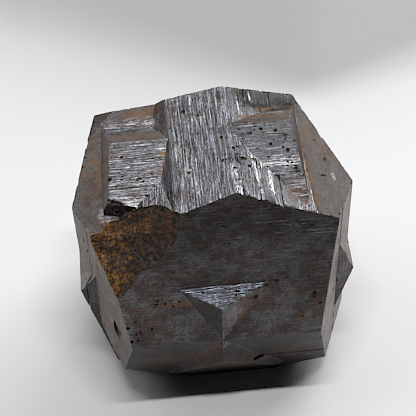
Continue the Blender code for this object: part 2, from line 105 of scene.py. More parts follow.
sheet_shape = bmesh.new()
bmesh.ops.create_grid(sheet_shape, x_segments=SHEET_CELLS, y_segments=SHEET_CELLS, size=1.0)
for vertex in sheet_shape.verts:
    # From front to back the sheet lies flat, bends round an arc and goes on straight, at a slant
    sideways, along, _ = vertex.co
    x = FOLD_CORNER[0] + sideways * abs(sideways) * SHEET_HALF_WIDTH
    away = math.hypot(x - FOLD_CORNER[0], FOLD_ROUNDING) - FOLD_ROUNDING
    slope = FOLD_SLOPES[x > FOLD_CORNER[0]]
    fold = FOLD_CORNER[1] + slope * FOLD_REACH * math.tanh(away / FOLD_REACH)
    radius = FOLD_RADIUS + FOLD_SOFTENING * min(away, FOLD_REACH)
    arc = radius * SHEET_TURN
    past = along * abs(along) * (SHEET_BACK_LENGTH if along > 0.0 else SHEET_FRONT_LENGTH) + 0.5 * arc
    turned = min(max(past, 0.0), arc) / radius
    flat, rise = min(past, 0.0), max(past - arc, 0.0)
    vertex.co = (
        x,
        fold - 0.5 * arc + flat + radius * math.sin(turned) + rise * math.cos(turned),
        radius * (1.0 - math.cos(turned)) + rise * math.sin(turned),
    )
sheet_mesh = bpy.data.meshes.new("white_card")
sheet_shape.to_mesh(sheet_mesh)
sheet_shape.free()
sheet_mesh.shade_smooth()
sheet_card = bpy.data.materials.new("white_card")
sheet_card.use_nodes = True
sheet_look = sheet_card.node_tree.nodes["Principled BSDF"].inputs
sheet_look["Base Color"].default_value = SHEET_COLOUR
sheet_look["Roughness"].default_value = SHEET_ROUGHNESS
sheet_look["Specular IOR Level"].default_value = SHEET_SHINE
sheet_mesh.materials.append(sheet_card)
sheet = bpy.data.objects.new("white_card", sheet_mesh)
bpy.context.scene.collection.objects.link(sheet)

for name, place, aim, width, height, watts in SOFT_BOXES:
    light = bpy.data.lights.new(name, "AREA")
    light.shape = "RECTANGLE"
    light.size = width
    light.size_y = height
    light.energy = watts
    lamp = bpy.data.objects.new(name, light)
    facing = (Vector(aim) - Vector(place)).to_track_quat("-Z", "Y")
    lamp.matrix_world = Matrix.Translation(place) @ facing.to_matrix().to_4x4()
    bpy.context.scene.collection.objects.link(lamp)

world = bpy.data.worlds.new("studio")
world.use_nodes = True
world.node_tree.nodes["Background"].inputs["Color"].default_value = SURROUNDINGS
bpy.context.scene.world = world
bpy.context.scene.view_settings.view_transform = "Standard"


# The twin: two pyrite crystals grown through each other, one solid of iron sulphide gone grey and brown.
# Its faces are ruled with fine growth lines that run along the ridges of each crystal. Each face is cut
# into a fine net along its own lines, so that they can be raised in it.
MM = 0.001
# Points that are this near each other are one, and a cut passes a corner by this much or goes through it
MERGE = 0.002
NEAR = 0.004
FLATNESS = math.radians(0.4)
ALIKE = math.cos(math.radians(1.0))
SIDES = {
    "left": ("x", -1.0),
    "right": ("x", 1.0),
    "front": ("y", -1.0),
    "back": ("y", 1.0),
    "under": ("z", -1.0),
    "top": ("z", 1.0),
}
# How each kind of face is ruled, in millimetres: the gaps of the cuts across and along the lines, the width
# of a line, its depth, how far it wanders, the depth of the grain, and then its share of small pits
RULINGS = {
    "band": (0.15, 0.45, 0.80, 0.050, 0.50, 0.016, 0.06),
    "roof": (0.15, 0.45, 0.52, 0.050, 0.25, 0.012, 0.10),
    "grey": (0.20, 0.30, 0.60, 0.020, 0.30, 0.020, 0.30),
    "dark": (0.22, 0.80, 0.60, 0.012, 0.20, 0.010, 0.01),
    "strip": (0.24, 0.90, 0.60, 0.030, 0.25, 0.015, 0.02),
    "skin": (0.50, 0.50, 1.20, 0.010, 0.30, 0.018, 0.00),
    "far": (0.32, 1.20, 0.80, 0.035, 0.20, 0.015, 0.04),
    "rest": (3.00, 3.00, 1.00, 0.000, 0.00, 0.000, 0.00),
}
# Each face as the model has it: the side that it looks to, where it crosses that side's axis in
# millimetres, and its slopes; and then the way of its lines, its ruling, its finish and its tone, which in
# places is painted light or painted shade
FACES = {
    "first top left": ("top", 51.26, {"x": 0.305, "y": 0.020}, "y", "band", "bright", 1.06),
    # Painted shade: the right slope is toned far darker than the left, against the stronger light on it
    "first top right": ("top", 53.90, {"x": -0.402, "y": 0.010}, "y", "band", "bright", 0.40),
    "first right shoulder": ("top", 52.80, {"x": -0.327, "y": -0.008}, "y", "skin", "brown", 0.52),
    "first front upper": ("front", -32.03, {"x": -0.001, "z": 0.382}, "x", "dark", "dark", 1.0),
    "first front lower": ("front", -15.86, {"x": 0.004, "z": -0.331}, "x", "dark", "dark", 0.50),
    "first back upper": ("back", 29.55, {"z": -0.295}, "x", "far", "dark", 1.0),
    "first back lower": ("back", 16.94, {"z": 0.310}, "x", "far", "dark", 1.0),
    "first left front": ("left", -28.23, {"y": -0.458, "z": 0.007}, "z", "strip", "umber", 0.74),
    "first left back": ("left", -23.73, {"y": 0.270, "z": -0.037}, "z", "strip", "pale", 1.0),
    "first right front": ("right", 27.95, {"y": 0.416, "z": 0.008}, "z", "strip", "pale", 1.0),
    "first right back": ("right", 23.32, {"y": -0.427, "z": 0.017}, "z", "strip", "pale", 1.0),
    "first under left": ("under", -4.85, {"x": -0.725}, "y", "far", "dark", 0.8),
    "first under right": ("under", -4.86, {"x": 0.468, "y": 0.012}, "y", "far", "dark", 0.8),
    "first low corner": ("left", -15.90, {"y": -0.045, "z": -0.577}, "z", "strip", "umber", 0.74),
    "second front left": ("front", -23.35, {"x": -0.556}, "z", "dark", "dark", 0.65),
    "second front right": ("front", -23.20, {"x": 0.481}, "z", "dark", "dark", 1.5),
    "second front cap": ("top", 40.92, {"y": 0.356}, "x", "roof", "blue", 0.72),
    "second front foot": ("front", -15.77, {"z": -0.500}, "x", "dark", "dark", 0.28),
    "second back left": ("back", 23.30, {"x": 0.520}, "z", "far", "dark", 1.0),
    "second back right": ("back", 23.30, {"x": -0.500}, "z", "far", "dark", 1.0),
    "second back cap": ("top", 40.50, {"y": -0.360}, "x", "far", "bright", 1.0),
    "second back foot": ("back", 15.80, {"z": 0.500}, "x", "far", "dark", 0.8),
    "second left upper": ("left", -37.39, {"z": 0.486}, "y", "strip", "pale", 1.0),
    "second left lower": ("left", -20.45, {"z": -0.274}, "y", "strip", "dark", 1.0),
    "second right upper": ("right", 34.78, {"z": -0.335}, "y", "strip", "pale", 1.0),
    "second right lower": ("right", 17.83, {"z": 0.355}, "y", "strip", "dark", 1.0),
    "second under front": ("under", -3.00, {"y": -0.420}, "x", "far", "dark", 0.8),
    "second under back": ("under", -3.00, {"y": 0.420}, "x", "far", "dark", 0.8),
    "rest": ("under", 0.0, {}, "x", "rest", "dark", 0.8),
    "left shoulder": ("top", 46.85, {"x": 0.167, "y": 0.149}, "x", "skin", "brown", 0.9),
    "shoulder flank": ("top", 55.60, {"x": 0.900, "y": 0.020}, "y", "band", "bright", 1.15),
    "right roof front": ("top", 51.32, {"y": 0.340}, "x", "grey", "grey", 0.75),
    "right roof apron": ("top", 51.00, {"y": 0.280}, "x", "roof", "bright", 0.58),
    "right roof back": ("top", 54.80, {"y": -0.550}, "x", "skin", "brown", 1.0),
    "right roof end": ("right", 33.10, {"z": -0.335}, "y", "skin", "brown", 0.9),
    "left roof front": ("top", 47.90, {"y": 0.220}, "x", "roof", "bright", 0.96),
    "left roof back": ("top", 50.90, {"y": -0.380}, "x", "skin", "brown", 0.76),
    # Painted light: the left roof's end is toned lighter, for the light that misses it
    "left roof end": ("left", -38.80, {"z": 0.420}, "y", "skin", "brown", 1.6),
    # The cliff of the hollow, painted black as its shade
    "left roof break": ("front", -12.20, {"x": -0.267}, "x", "skin", "pit", 0.7),
    "corner ledge": ("top", 49.69, {"x": 0.314, "y": -0.094}, "y", "band", "bright", 1.0),
    "rim top": ("top", 58.68, {"x": 0.900}, "y", "band", "bright", 0.8),
}
# Parts of a face that look different from the rest: the face, the line that bounds them as a point and
# a direction towards them, and then their own ruling, finish and tone
PARTS = (
    ("first top left", (-14.0, 0.0, 0.0), (-1.0, 0.0, 0.0), "skin", "brown", 0.62),
    ("first right shoulder", (17.3, 0.0, 0.0), (-1.0, -0.07, 0.0), "roof", "bright", 0.5),
    ("left roof back", (0.0, 8.5, 0.0), (0.0, 1.0, 0.0), "roof", "bright", 0.78),
    ("shoulder flank", (0.0, 8.0, 0.0), (0.0, 1.0, 0.0), "skin", "brown", 1.0),
    # Painted shade on the lower parts of the wedge's two front faces
    ("second front right", (0.0, 0.0, 20.2), (0.0, 0.0, -1.0), "dark", "dark", 0.45),
    ("second front left", (0.0, 0.0, 20.2), (0.0, 0.0, -1.0), "dark", "dark", 0.4),
)
# A piece of the mesh belongs to a face when it lies no further below its plane, or above it, than this
STEP_DEPTH = 0.8
STEP_RISE = 0.1
# The hollow at the front of the left roof, painted black inside as its shade
HOLLOW = Vector((-16.9, -7.2, 44.3))
HOLLOW_REACH = 3.0
# The pits at the foot of the front and on the right shoulder are shallow and not painted black as shade
SHALLOW_BELOW = 15.0
SHALLOW_BEYOND = 18.0
# The broken corner: its middle, the way that it faces, its depth and reach, and how squarely it faces there
BREAK_MIDDLE = Vector((-15.26, -13.70, 40.91))
BREAK_OUTWARD = Vector((-0.422, -0.609, 0.672)).normalized()
BREAK_DEPTH = 3.5
BREAK_REACH = 20.0
BREAK_FACING = 0.3
FINISHES = ("bright", "grey", "blue", "dark", "pale", "umber", "brown", "edge", "pit", "rusty")


def place_and_normal(side, level, slopes):
    """A point of a face's plane and its outward direction."""
    axis, sign = SIDES[side]
    number = "xyz".index(axis)
    point = Vector((0.0, 0.0, 0.0))
    point[number] = level
    normal = Vector([-slopes.get(name, 0.0) for name in "xyz"])
    normal[number] = 1.0
    return point, normal.normalized() * sign


face_names = list(FACES)
planes = [place_and_normal(*face[:3]) for face in FACES.values()]
rows = [face[3:] for face in FACES.values()]
for name, _, _, ruling, finish, tone in PARTS:
    planes.append(planes[face_names.index(name)])
    rows.append((FACES[name][3], ruling, finish, tone))
# What belongs to no face has a number too: the break, walls, pits, and the narrow walls of growth steps
BREAK = len(planes)
WALL = BREAK + 1
PIT = BREAK + 2
STEP = BREAK + 3


def face_number(normal, middle):
    """Which face of the twin a piece of its surface belongs to, or the break, or else a wall of a step."""
    best, found = ALIKE, None
    for number, (point, outward) in enumerate(planes[: len(FACES)]):
        height = (middle - point).dot(outward)
        if normal.dot(outward) > best and -STEP_DEPTH < height < STEP_RISE:
            best, found = normal.dot(outward), number
    if found is not None:
        owner = face_names[found]
        for place, (name, point, way, *_) in enumerate(PARTS):
            if name == owner and (middle - Vector(point)).dot(Vector(way)) > 0.0:
                found = len(FACES) + place
        return found
    away = middle - BREAK_MIDDLE
    level = abs(away.dot(BREAK_OUTWARD)) < BREAK_DEPTH and away.length < BREAK_REACH
    return BREAK if level and normal.dot(BREAK_OUTWARD) > BREAK_FACING else WALL


def rule_off(shape, way, gap):
    """Cut a shape into strips by planes a gap apart, square to a direction."""
    reach = [vertex.co.dot(way) for vertex in shape.verts]
    faces = shape.faces[:]
    place = (math.floor(min(reach) / gap) + 0.5) * gap
    while faces and place < max(reach):
        edges = dict.fromkeys(edge for face in faces for edge in face.edges)
        verts = dict.fromkeys(vertex for face in faces for vertex in face.verts)
        cut = bmesh.ops.bisect_plane(
            shape, geom=[*faces, *edges, *verts], dist=NEAR, plane_co=way * place, plane_no=way
        )
        pieces = [item for item in cut["geom"] if isinstance(item, bmesh.types.BMFace)]
        faces = [face for face in pieces if face.calc_center_median().dot(way) > place]
        place += gap


def crossings(start, end, way, gap):
    """Shares of the way from one point to another at which the planes a gap apart cross it."""
    low, high = start.dot(way), end.dot(way)
    if abs(high - low) < 1e-4:
        return []
    first, last = sorted((low, high))
    places = np.arange(math.ceil(first / gap - 0.5) + 0.5, last / gap, 1.0) * gap
    return [(place - low) / (high - low) for place in places]


twin_shape = bmesh.new()
twin_shape.from_mesh(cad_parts["iron_cross_twin"].data)
bmesh.ops.scale(twin_shape, vec=(1.0 / MM,) * 3, verts=twin_shape.verts)
bmesh.ops.remove_doubles(twin_shape, verts=twin_shape.verts, dist=MERGE)
bmesh.ops.dissolve_limit(
    twin_shape, angle_limit=FLATNESS, verts=twin_shape.verts, edges=twin_shape.edges
)
for layer in list(twin_shape.loops.layers.uv.values()):
    twin_shape.loops.layers.uv.remove(layer)
for name, point, way, *_ in PARTS:
    outward = planes[face_names.index(name)][1]
    faces = [face for face in twin_shape.faces if face.normal.dot(outward) > ALIKE]
    edges = dict.fromkeys(edge for face in faces for edge in face.edges)
    verts = dict.fromkeys(vertex for face in faces for vertex in face.verts)
    way = Vector(way).normalized()
    bmesh.ops.bisect_plane(
        twin_shape, geom=[*faces, *edges, *verts], dist=NEAR, plane_co=point, plane_no=way
    )
for face in twin_shape.faces:
    face.material_index = face_number(face.normal, face.calc_center_median())

# Pits are the small closed groups among the pieces that belong to no face
FEWEST_IN_PIT = 9
WIDEST_PIT = 4.0

unseen = {face for face in twin_shape.faces if face.material_index in (WALL, BREAK)}
while unseen:
    group, edge_of_group = set(), {unseen.pop()}
    while edge_of_group:
        face = edge_of_group.pop()
        group.add(face)
        near = {other for edge in face.edges for other in edge.link_faces if other in unseen}
        unseen -= near
        edge_of_group |= near
    middles = [face.calc_center_median() for face in group]
    mean = sum(middles, Vector()) / len(middles)
    spread = max((middle - mean).length for middle in middles)
    if len(group) >= FEWEST_IN_PIT and spread < WIDEST_PIT:
        for face in group:
            face.material_index = PIT

# Narrow walls are the sides of growth steps, worn round
STEP_WIDTH = 0.7

for face in twin_shape.faces:
    if face.material_index == WALL:
        longest = max(edge.calc_length() for edge in face.edges)
        if face.calc_area() < STEP_WIDTH * longest:
            face.material_index = STEP

# Each face has two directions, across its growth lines and along them
LINE_WAYS = {"x": Vector((1.0, 0.0, 0.0)), "y": Vector((0.0, 1.0, 0.0)), "z": Vector((0.0, 0.0, 1.0))}

line_frames = []
for (way, *_), (_, outward) in zip(rows, planes):
    along = LINE_WAYS[way]
    along = (along - outward * along.dot(outward)).normalized()
    line_frames.append((outward.cross(along), along))

# Where two faces meet, their shared edge is split at the cuts of both, so that the pieces match
for edge in twin_shape.edges[:]:
    numbers = {face.material_index for face in edge.link_faces}
    if len(numbers) < 2:
        continue
    start, end = edge.verts
    shares = []
    for number in numbers:
        if number < BREAK:
            across, along = line_frames[number]
            gap_across, gap_along = RULINGS[rows[number][1]][:2]
            shares += crossings(start.co, end.co, across, gap_across)
            shares += crossings(start.co, end.co, along, gap_along)
    length = edge.calc_length()
    from_co, to_co = start.co.copy(), end.co.copy()
    done = 0.0
    for share in sorted(shares):
        if (share - done) * length > NEAR and (1.0 - share) * length > NEAR:
            edge, added = bmesh.utils.edge_split(edge, start, 0.5)
            added.co = from_co.lerp(to_co, share)
            edge = [near for near in added.link_edges if end in near.verts][0]
            start = added
            done = share

# Each face is lifted off, ruled by itself and welded on again
SEAM = 0.08
BREAK_CUTS = 3

ruled_shape = bmesh.new()
for number in range(STEP + 1):
    part = twin_shape.copy()
    others = [face for face in part.faces if face.material_index != number]
    bmesh.ops.delete(part, geom=others, context="FACES")
    if part.faces and number < BREAK:
        across, along = line_frames[number]
        gap_across, gap_along = RULINGS[rows[number][1]][:2]
        rule_off(part, along, gap_along)
        rule_off(part, across, gap_across)
    part_mesh = bpy.data.meshes.new("part")
    part.to_mesh(part_mesh)
    part.free()
    ruled_shape.from_mesh(part_mesh)
    bpy.data.meshes.remove(part_mesh)
twin_shape.free()
twin_shape = ruled_shape
bmesh.ops.remove_doubles(twin_shape, verts=twin_shape.verts, dist=MERGE)
open_edges = [edge for edge in twin_shape.edges if not edge.is_manifold]
loose = dict.fromkeys(vertex for edge in open_edges for vertex in edge.verts)
bmesh.ops.remove_doubles(twin_shape, verts=list(loose), dist=SEAM)
bmesh.ops.dissolve_degenerate(twin_shape, edges=twin_shape.edges, dist=MERGE)
broken = [face for face in twin_shape.faces if face.material_index == BREAK]
broken_edges = list(dict.fromkeys(edge for face in broken for edge in face.edges))
bmesh.ops.subdivide_edges(twin_shape, edges=broken_edges, cuts=BREAK_CUTS, use_grid_fill=True)
bmesh.ops.triangulate(twin_shape, faces=twin_shape.faces, quad_method="BEAUTY", ngon_method="BEAUTY")
twin_shape.verts.ensure_lookup_table()
twin_shape.verts.index_update()
twin_shape.normal_update()


# Growth lines wander in waves of three kinds, given in millimetres across them and along them
BROAD_WAVE = (4.0, 7.0)
LONG_WAVE = (1.1, 30.0)
SHORT_WAVE = (0.8, 2.5)


def waved(across, along, wave, seed):
    """Smooth noise at a place on a face, its waves as long as given across and along the lines."""
    return noise.noise(Vector((across / wave[0], along / wave[1], seed)))


def line_height(across, along, seed, width, wander):
    """Height of the growth lines at a place on a face, from 0 in a groove to 1 and more on a crest."""
    drift = wander * waved(across, along, BROAD_WAVE, seed)
    drift += 0.7 * width * waved(across, along, LONG_WAVE, seed + 9.0)
    drift += 0.25 * width * waved(across, along, SHORT_WAVE, seed + 17.0)
    place = (across + drift) / width
    line = math.floor(place)
    part = place - line
    # Each line has its crest nearer one side or the other, and is stronger and weaker along its length
    top = 0.5 + 0.3 * noise.cell(Vector((line + 0.5, seed, 0.5)))
    rise = part / top if part < top else (1.0 - part) / (1.0 - top)
    strength = 0.60 + 0.9 * noise.noise(Vector((line * 5.37, along / 1.9, seed + 4.0)))
    strength += 0.4 * noise.noise(Vector((line * 2.11, along / 8.0, seed + 5.0)))
    return min(max(rise * strength, 0.0), 1.2)


# Small pits lie in a net of cells, one in each at most
PIT_CELL = 1.15
SMALLEST_PIT = 0.11
PIT_GROWTH = 0.13


def small_pit(across, along, seed, share):
    """How deep in a small pit a place on a face is, from 0 outside to 1 in its middle."""
    deepest = 0.0
    column, line = math.floor(across / PIT_CELL), math.floor(along / PIT_CELL)
    for i in (column - 1, column, column + 1):
        for j in (line - 1, line, line + 1):
            key = Vector((i + 0.5, j + 0.5, seed))
            if 0.5 + 0.5 * noise.cell(key) > share:
                continue
            jitter = noise.cell_vector(key + Vector((0.0, 0.0, 31.0)))
            radius = SMALLEST_PIT + PIT_GROWTH * jitter.z
            x = across - (i + jitter.x) * PIT_CELL
            y = along - (j + jitter.y) * PIT_CELL
            deepest = max(deepest, 1.0 - (x * x + y * y) / radius**2)
    return deepest


# The relief in millimetres: how deep a small pit is, how far the corners between faces are worn back and
# nicked, and the grain of the break; how much of a growth step is worn away; and an edge's painted
# highlight
PIT_DEPTH = 0.16
CORNER_WEAR = 0.02
CORNER_NICKS = 0.10
BREAK_GRAIN = 0.30
STEP_WEAR = 0.55
EDGE_HIGHLIGHT = 0.18
# The sizes of the grain of the faces, the clusters of pits, the nicks, and the break's lumps and crumbs
GRAIN_SIZE = 0.9
CLUSTER_SIZE = 3.5
NICK_SIZE = 1.4
LUMP_SIZE = 1.3
CRUMB_SIZE = 0.55
# Where several faces meet, a corner is moved to suit all of them, but not far if they are nearly level
CORNER_EASE = 0.03

count = len(twin_shape.verts)
touching = [set() for _ in range(count)]
for face in twin_shape.faces:
    for vertex in face.verts:
        touching[vertex.index].add(face.material_index)
places = np.array([vertex.co for vertex in twin_shape.verts])
normals = np.array([vertex.normal for vertex in twin_shape.verts])
crest, grime_and_pit_shade, highlight_and_scratch = np.zeros(count), np.zeros(count), np.zeros(count)
moves = []
for vertex in twin_shape.verts:
    spot = vertex.co
    facing, heights = [], []
    numbers = sorted(touching[vertex.index])
    rough = noise.noise(spot / GRAIN_SIZE) + 0.5 * noise.noise(spot / (0.5 * GRAIN_SIZE))
    for number in numbers:
        if number >= BREAK:
            continue
        _, _, width, depth, wander, grain, pitted = RULINGS[rows[number][1]]
        across, along = (spot.dot(way) for way in line_frames[number])
        ruled = line_height(across, along, number * 3.7, width, wander)
        crest[vertex.index] = max(crest[vertex.index], ruled)
        cluster = 0.5 + 1.3 * noise.noise(spot / CLUSTER_SIZE)
        pit = small_pit(across, along, number * 1.9, pitted * min(max(cluster, 0.0), 1.2))
        # A small pit is painted black as its shade
        if pit > 0.0:
            grime_and_pit_shade[vertex.index] = max(grime_and_pit_shade[vertex.index], min(1.6 * pit, 1.0))
        point, outward = planes[number]
        height = depth * (ruled - 1.0) + grain * rough - PIT_DEPTH * math.sqrt(pit)
        heights.append(height + STEP_WEAR * (point - spot).dot(outward))
        facing.append(outward)
    if not facing:
        if numbers == [BREAK]:
            rough = BREAK_GRAIN * noise.noise(spot / LUMP_SIZE)
            rough += BREAK_GRAIN * noise.noise(spot / CRUMB_SIZE)
            crest[vertex.index] = 0.5 + 1.5 * rough
            moves.append(vertex.normal * rough)
        else:
            crest[vertex.index] = 0.5
            moves.append(None)
        continue
    if len(facing) > 1:
        worn = CORNER_WEAR + CORNER_NICKS * max(noise.noise(spot / NICK_SIZE), 0.0)
        heights = [height - worn for height in heights]
        # Where faces meet, a painted highlight runs along the edge
        highlight_and_scratch[vertex.index] = EDGE_HIGHLIGHT
    facing = np.array(facing)
    weights = np.linalg.solve(facing @ facing.T + CORNER_EASE * np.eye(len(heights)), np.array(heights))
    moves.append(Vector(facing.T @ weights))
for vertex, move in zip(twin_shape.verts, moves):
    if move is None or face_names.index("rest") in touching[vertex.index]:
        continue
    vertex.co += move
    vertex.co.z = max(vertex.co.z, 0.0)

# Marks of wear and weather, and of painted light and shade, on each side, in millimetres: the kind, the two
# ends of the line that the mark follows, its reach and its strength. A calm mark hides the growth lines, a
# tone mark makes the ground lighter or, with a strength below zero, darker, in places as painted light or
# painted shade, and pits are many small holes.
TOP_MARKS = (
    # The dull patch at the back of the right slope, and the ledges before it with a painted highlight along
    # their edge
    ("calm", (8.0, 13.5), (17.0, 13.5), 3.0, 1.0),
    ("calm", (8.0, 10.0), (15.5, 10.5), 2.2, 1.0),
    ("calm", (6.0, 12.5), (6.0, 8.0), 1.6, 0.6),
    ("tone_and_painted_light", (9.0, 12.5), (17.0, 13.0), 3.2, -0.75),
    ("tone_and_painted_light", (6.5, 13.0), (7.5, 8.5), 2.2, -0.3),
    ("tone_and_painted_light", (11.0, 9.5), (16.5, 10.5), 1.4, -0.4),
    ("tone_and_painted_light", (6.8, 8.0), (14.5, 8.5), 0.3, 0.7),
    ("highlight_and_scratch", (8.5, 14.5), (9.0, 11.5), 0.2, 0.5),
    ("highlight_and_scratch", (6.0, 13.0), (6.5, 8.0), 0.2, 0.5),
    ("grime_and_pit_shade", (9.5, 10.5), (15.5, 12.5), 1.1, 0.45),
    ("rust", (11.0, 10.0), (14.0, 11.0), 0.3, 0.9),
    ("rust", (10.0, 10.0), (10.0, 10.0), 0.35, 1.3),
    ("highlight_and_scratch", (6.5, 8.0), (14.5, 8.5), 0.15, 0.6),
    ("rust", (6.5, 7.0), (14.5, 7.0), 0.6, 0.35),
    # The groove between the right roof and the right shoulder, and the shoulder
    ("rust", (16.5, 10.5), (18.5, -12.0), 0.5, 0.5),
    ("grime_and_pit_shade", (16.5, 14.0), (18.5, -14.0), 0.3, 0.3),
    ("rust", (18.5, 6.5), (22.0, 2.0), 3.0, 0.15),
    ("highlight_and_scratch", (22.5, -3.5), (22.5, -5.5), 0.12, 0.9),
    # The front of the right slope, pitted where it meets the right roof
    ("calm", (3.0, 0.5), (5.5, -3.5), 2.2, 0.8),
    ("tone_and_painted_light", (3.5, 3.5), (6.5, -3.0), 2.4, -0.30),
    ("pits", (2.5, -4.0), (5.0, -4.0), 1.6, 1.0),
    ("pits", (3.5, 0.0), (7.0, -3.0), 1.5, 0.35),
    ("grime_and_pit_shade", (2.7, -3.9), (3.3, -4.1), 0.35, 0.9),
    ("grime_and_pit_shade", (4.7, -3.2), (4.7, -4.4), 0.3, 0.9),
    ("pits", (15.0, -3.0), (16.5, -9.0), 1.2, 0.5),
    # The right roof
    ("pits", (8.5, 2.5), (14.5, 0.5), 2.8, 0.45),
    ("grime_and_pit_shade", (7.8, 2.0), (7.8, 2.0), 0.35, 0.9),
    ("grime_and_pit_shade", (8.7, 3.8), (8.7, 3.8), 0.3, 0.8),
    ("grime_and_pit_shade", (14.0, 1.2), (14.4, 1.2), 0.3, 0.8),
    ("highlight_and_scratch", (7.5, -2.5), (8.5, -11.0), 0.45, 0.8),
    ("highlight_and_scratch", (10.5, -5.5), (10.5, -11.5), 0.32, 0.75),
    ("calm", (9.5, -4.5), (9.5, -10.5), 0.6, 0.6),
    ("calm", (12.0, -7.0), (13.5, -13.0), 1.7, 0.9),
    ("tone_and_painted_light", (12.0, -7.0), (13.5, -12.0), 1.6, -0.2),
    ("rust", (13.5, -9.0), (15.0, -11.5), 0.2, 0.4),
    ("highlight_and_scratch", (9.5, -4.0), (16.5, -4.0), 0.9, 0.7),
    ("rust", (14.0, -8.0), (17.0, -13.5), 1.5, 0.12),
    ("highlight_and_scratch", (3.5, -6.5), (4.5, -14.0), 1.2, 0.45),
    # The middle
    ("pits", (-5.0, 13.5), (0.0, 2.5), 3.0, 0.12),
    ("grime_and_pit_shade", (-4.0, 10.6), (-4.0, 10.6), 0.3, 0.9),
    ("grime_and_pit_shade", (-1.0, 9.2), (-0.8, 8.4), 0.3, 0.9),
    ("highlight_and_scratch", (-5.5, 1.5), (-2.5, -9.0), 1.0, 0.45),
    ("calm", (-7.0, 11.5), (-7.5, -6.0), 0.9, 0.6),
    # The left roof, with the lines that its back shows again behind a brown strip
    ("pits", (-17.0, -3.5), (-12.0, -3.0), 1.8, 0.45),
    ("pits", (-18.5, 2.5), (-10.0, 2.5), 2.0, 0.15),
    ("grime_and_pit_shade", (-16.5, -5.0), (-16.5, -5.0), 0.35, 0.9),
    ("grime_and_pit_shade", (-18.9, 7.0), (-19.0, -5.5), 0.25, 0.6),
    ("rust", (-14.0, 14.0), (-10.5, 14.0), 1.2, 0.5),
    ("highlight_and_scratch", (-18.5, 12.0), (-10.0, 11.6), 1.5, 0.8),
    ("rust", (-18.5, 7.0), (-8.5, 7.0), 0.8, 0.25),
    ("rust", (-9.5, 2.0), (-8.0, 2.0), 0.35, 1.0),
    ("rust", (-9.5, -0.5), (-8.5, -0.5), 0.3, 0.6),
    ("rust", (-8.0, 2.5), (-9.0, -2.5), 0.4, 0.5),
    ("red", (-18.7, 2.0), (-18.7, 2.0), 0.4, 0.8),
    ("highlight_and_scratch", (-19.0, -6.5), (-14.5, -7.5), 1.0, 0.9),
    ("highlight_and_scratch", (-10.0, -4.5), (-10.0, -9.5), 0.8, 0.9),
    ("highlight_and_scratch", (-14.0, -4.0), (-9.5, -3.5), 0.6, 0.3),
    ("red", (-11.5, -8.0), (-11.5, -8.0), 0.4, 0.9),
    ("calm", (-14.0, -7.0), (-13.0, -8.5), 0.7, 0.8),
    # The hollow with painted shade, its pale rim and the crumbs beside it with painted highlights
    ("grime_and_pit_shade", (-19.3, -6.5), (-17.0, -7.5), 0.8, 1.0),
    ("tone_and_painted_light", (-19.0, -7.5), (-13.5, -9.0), 1.2, 1.2),
    ("highlight_and_scratch", (-20.3, -6.0), (-19.0, -8.5), 0.9, 0.9),
    ("highlight_and_scratch", (-21.0, -7.0), (-20.5, -8.0), 0.5, 0.8),
    # The left shoulder
    ("rust", (-22.0, 6.0), (-21.0, 5.0), 0.8, 0.5),
    ("rust", (-21.0, 4.0), (-20.5, -1.0), 0.8, 0.35),
    ("rust", (-23.0, 3.0), (-21.0, 3.0), 1.6, 0.22),
    ("highlight_and_scratch", (-21.2, 12.5), (-21.2, 6.5), 0.12, 0.3),
    ("highlight_and_scratch", (-20.8, 13.0), (-20.6, 7.5), 0.12, 0.25),
)
